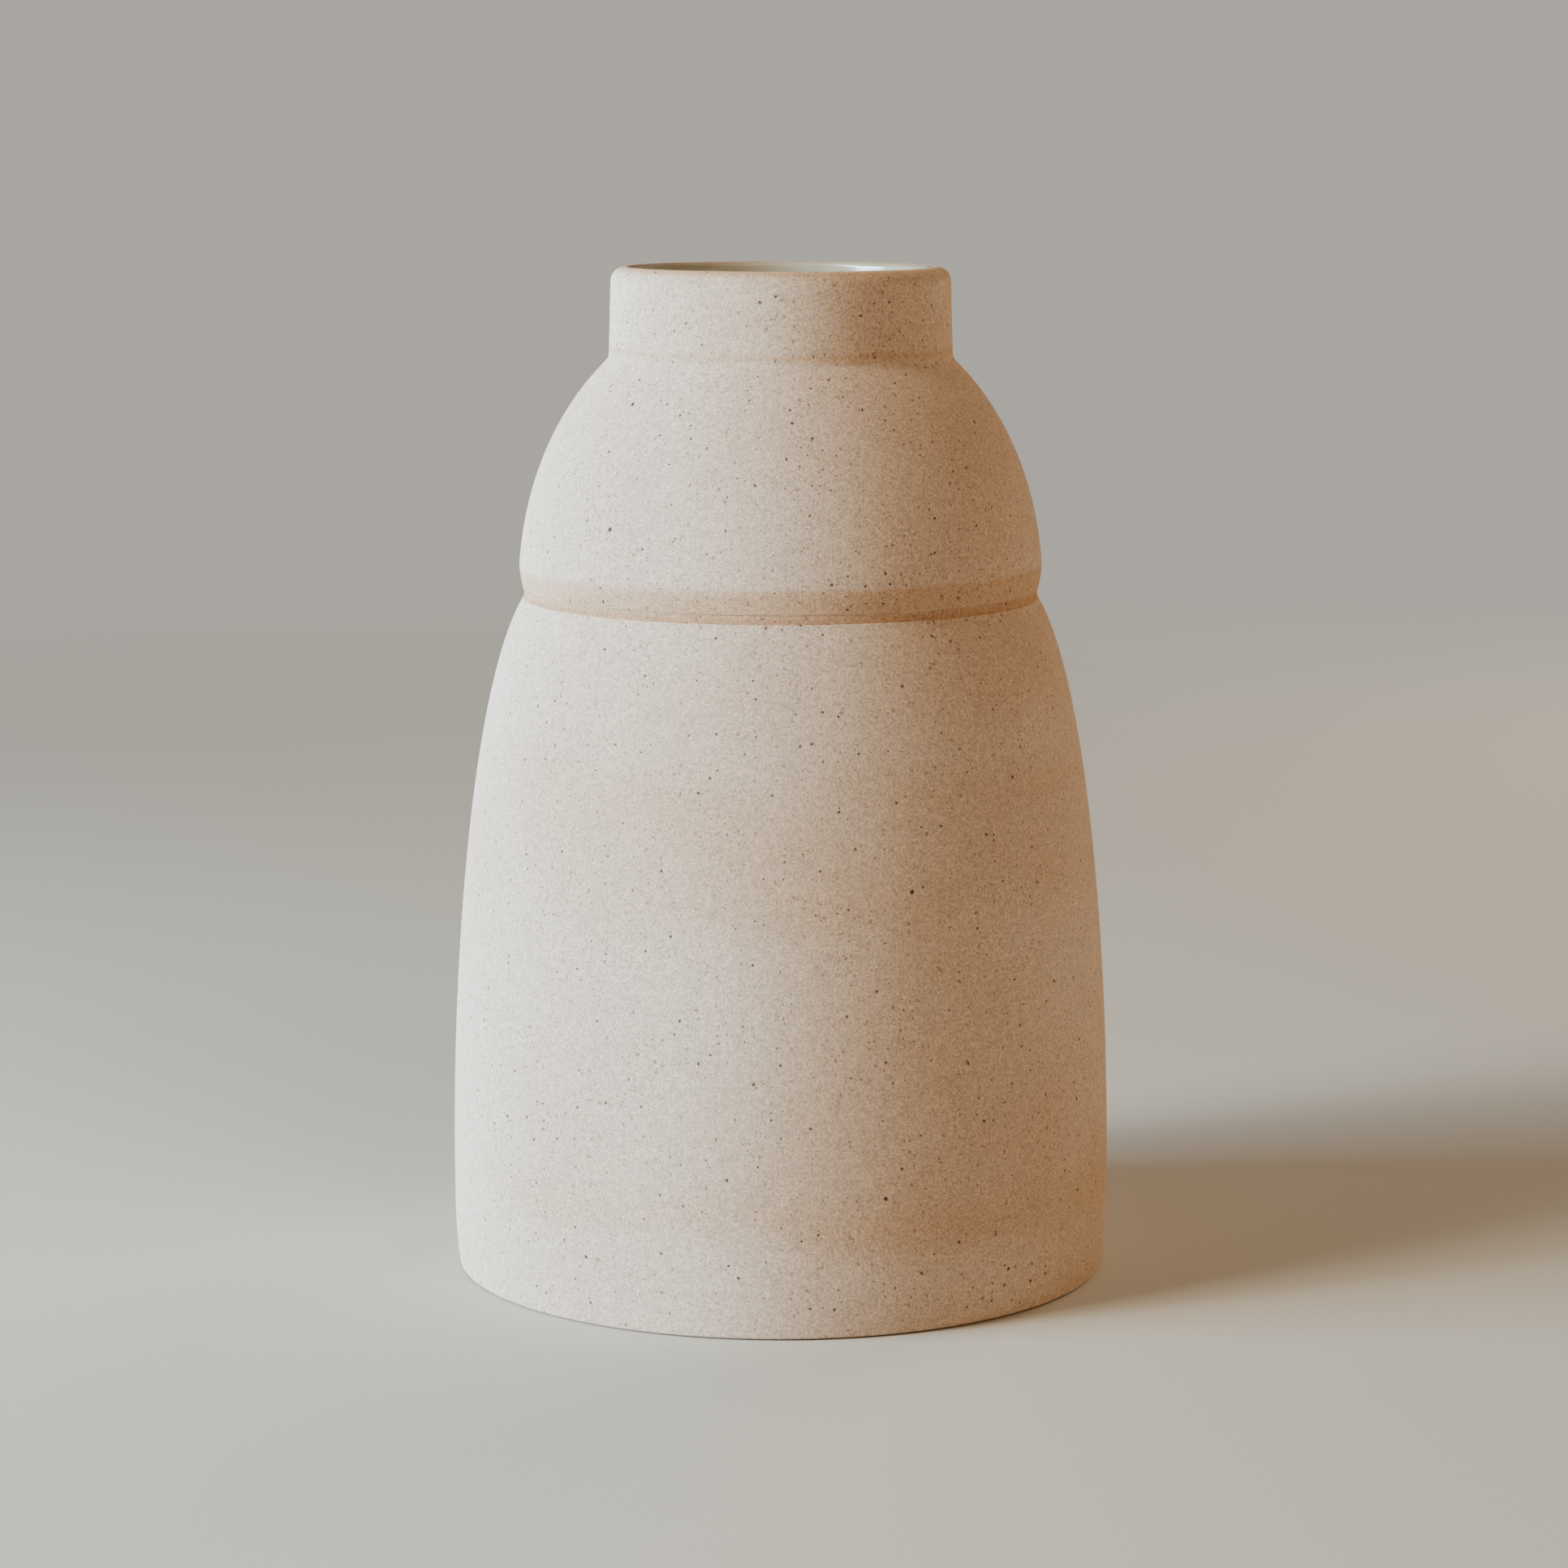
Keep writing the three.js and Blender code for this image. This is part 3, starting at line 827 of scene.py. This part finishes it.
class VASE_OT_stage(bpy.types.Operator):
    """Sets the plain floor, the soft lights and the camera"""

    bl_idname = "vase.stage"
    bl_label = "Stage"

    def execute(self, context):
        scene, stage = context.scene, context.scene.vase_stage
        angle = np.linspace(0, 2 * math.pi, 96, endpoint=False)
        rim = points(FLOOR_REACH * np.cos(angle), FLOOR_REACH * np.sin(angle))
        verts = np.column_stack([rim, np.full(len(rim), -FLOOR_DROP)])
        mesh = bpy.data.meshes.new("floor")
        mesh.from_pydata(verts.tolist(), [], [list(range(len(verts)))])
        floor = bpy.data.objects.new("floor", mesh)
        scene.collection.objects.link(floor)
        floor.data.materials.append(plain_floor("pale_floor", stage.backdrop))

        aim = Vector((0, 0, AIM_HEIGHT))
        for name, place in PANELS.items():
            tint, power = getattr(stage, name), getattr(stage, name + "_power")
            area_light(name + "_panel", *place, tint, power, aim)
        world = bpy.data.worlds.new("soft_air")
        scene.world = world
        world.use_nodes = True
        links, nodes = world.node_tree.links, world.node_tree.nodes
        air = nodes["Background"]
        air.inputs["Color"].default_value = (*stage.air, 1.0)
        air.inputs["Strength"].default_value = stage.air_power
        backdrop = nodes.new("ShaderNodeBackground")
        backdrop.inputs["Color"].default_value = (*stage.backdrop, 1.0)
        either = nodes.new("ShaderNodeMixShader")
        links.new(nodes.new("ShaderNodeLightPath").outputs["Is Camera Ray"], either.inputs[0])
        links.new(air.outputs[0], either.inputs[1])
        links.new(backdrop.outputs[0], either.inputs[2])
        links.new(either.outputs[0], nodes["World Output"].inputs["Surface"])

        lens = bpy.data.cameras.new("camera")
        lens.sensor_width = SENSOR_WIDTH
        lens.lens = LENS_LENGTH
        camera = bpy.data.objects.new("camera", lens)
        camera.location = CAMERA_PLACE
        camera.rotation_euler = (math.radians(CAMERA_TILT), 0.0, 0.0)
        scene.collection.objects.link(camera)
        scene.camera = camera
        scene.view_settings.view_transform = "AgX"
        scene.view_settings.look = "AgX - Medium High Contrast"
        return {"FINISHED"}


class VASE_PT_panel(bpy.types.Panel):
    """Lists the vase's sizes and finishes, and what makes each piece"""

    bl_idname = "VASE_PT_panel"
    bl_label = "Stoneware Vase"
    bl_space_type = "VIEW_3D"
    bl_region_type = "UI"
    bl_category = "Vase"

    def draw(self, context):
        for operator in OPERATORS:
            self.layout.operator(operator.bl_idname)
        for group in (context.scene.vase_shape, context.scene.vase_finish, context.scene.vase_stage):
            box = self.layout.box()
            for name in group.__annotations__:
                box.prop(group, name)


OPERATORS = (
    VASE_OT_lower_body, VASE_OT_shoulder_dome, VASE_OT_neck_collar,
    VASE_OT_slip_joints, VASE_OT_liner_glaze, VASE_OT_stage,
)
CLASSES = (VaseShape, VaseFinish, VaseStage, *OPERATORS, VASE_PT_panel)


def register():
    for made in CLASSES:
        bpy.utils.register_class(made)
    bpy.types.Scene.vase_shape = PointerProperty(type=VaseShape)
    bpy.types.Scene.vase_finish = PointerProperty(type=VaseFinish)
    bpy.types.Scene.vase_stage = PointerProperty(type=VaseStage)


def unregister():
    del bpy.types.Scene.vase_stage
    del bpy.types.Scene.vase_finish
    del bpy.types.Scene.vase_shape
    for made in reversed(CLASSES):
        bpy.utils.unregister_class(made)


def main():
    register()
    bpy.ops.vase.lower_body()
    bpy.ops.vase.shoulder_dome()
    bpy.ops.vase.neck_collar()
    bpy.ops.vase.slip_joints()
    bpy.ops.vase.liner_glaze()
    bpy.ops.vase.stage()


if __name__ == "__main__":
    main()
